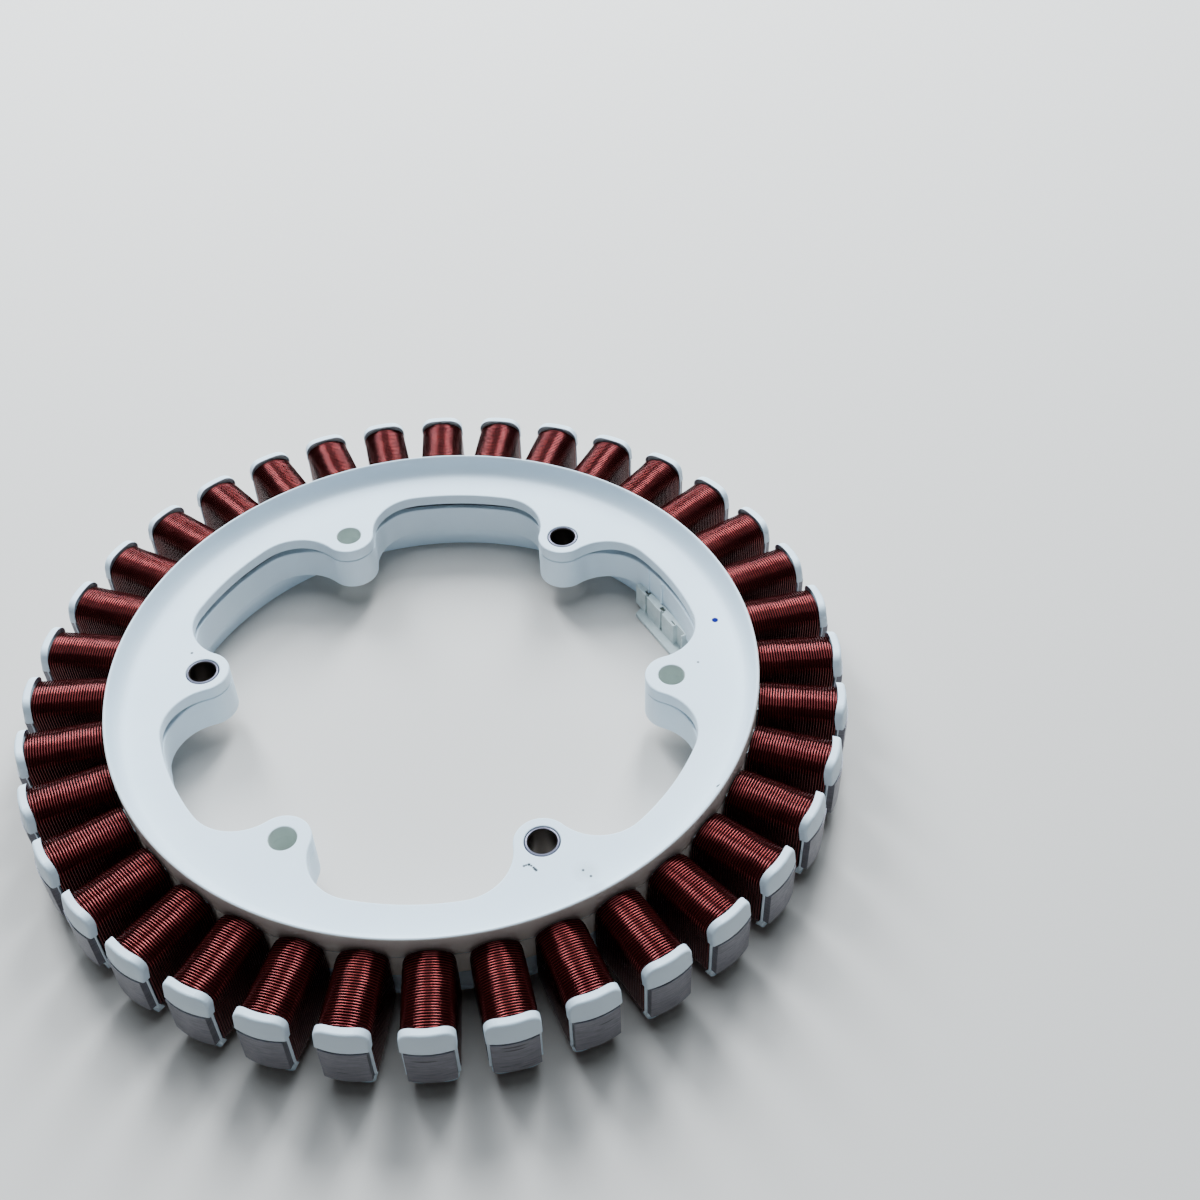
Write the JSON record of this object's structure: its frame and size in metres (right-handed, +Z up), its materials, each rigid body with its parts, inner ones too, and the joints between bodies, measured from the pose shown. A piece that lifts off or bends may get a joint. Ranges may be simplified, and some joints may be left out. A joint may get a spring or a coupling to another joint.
{
  "type": "wound stator",
  "caption": "Flat ring stator with outward teeth, an enamelled wire coil on each tooth, pale moulded insulators and mounting bosses inside a wide lobed bore.",
  "frame": {"origin": "on the stator's axis, in the plane of the lower skirt's edge that it stands on", "axes": "+Z up along the axis towards the deck with the raised rim, +X through the middle of a boss with a plain hole"},
  "size_m": [0.2642, 0.2642, 0.0325],
  "materials": {
    "core_steel": "dull, stacked sheets with fine edges",
    "insulator": "smooth satin moulding",
    "housing": "satin moulding",
    "winding": "glossy clear-coated wire",
    "bush": "turned",
    "terminal": "bright"
  },
  "bodies": {
    "root": {"core_laminations": "core_steel", "upper_insulator": "insulator", "lower_insulator": "insulator", "terminal_housing": "housing", "crossover_wires": "winding", "mounting_bushes": "bush", "terminal_u": "terminal", "terminal_v": "terminal", "terminal_w": "terminal", "coil_01": "winding", "coil_02": "winding", "coil_03": "winding", "coil_04": "winding", "coil_05": "winding", "coil_06": "winding", "coil_07": "winding", "coil_08": "winding", "coil_09": "winding", "coil_10": "winding", "coil_11": "winding", "coil_12": "winding", "coil_13": "winding", "coil_14": "winding", "coil_15": "winding", "coil_16": "winding", "coil_17": "winding", "coil_18": "winding", "coil_19": "winding", "coil_20": "winding", "coil_21": "winding", "coil_22": "winding", "coil_23": "winding", "coil_24": "winding", "coil_25": "winding", "coil_26": "winding", "coil_27": "winding", "coil_28": "winding", "coil_29": "winding", "coil_30": "winding", "coil_31": "winding", "coil_32": "winding", "coil_33": "winding", "coil_34": "winding", "coil_35": "winding", "coil_36": "winding"}
  },
  "joints": []
}
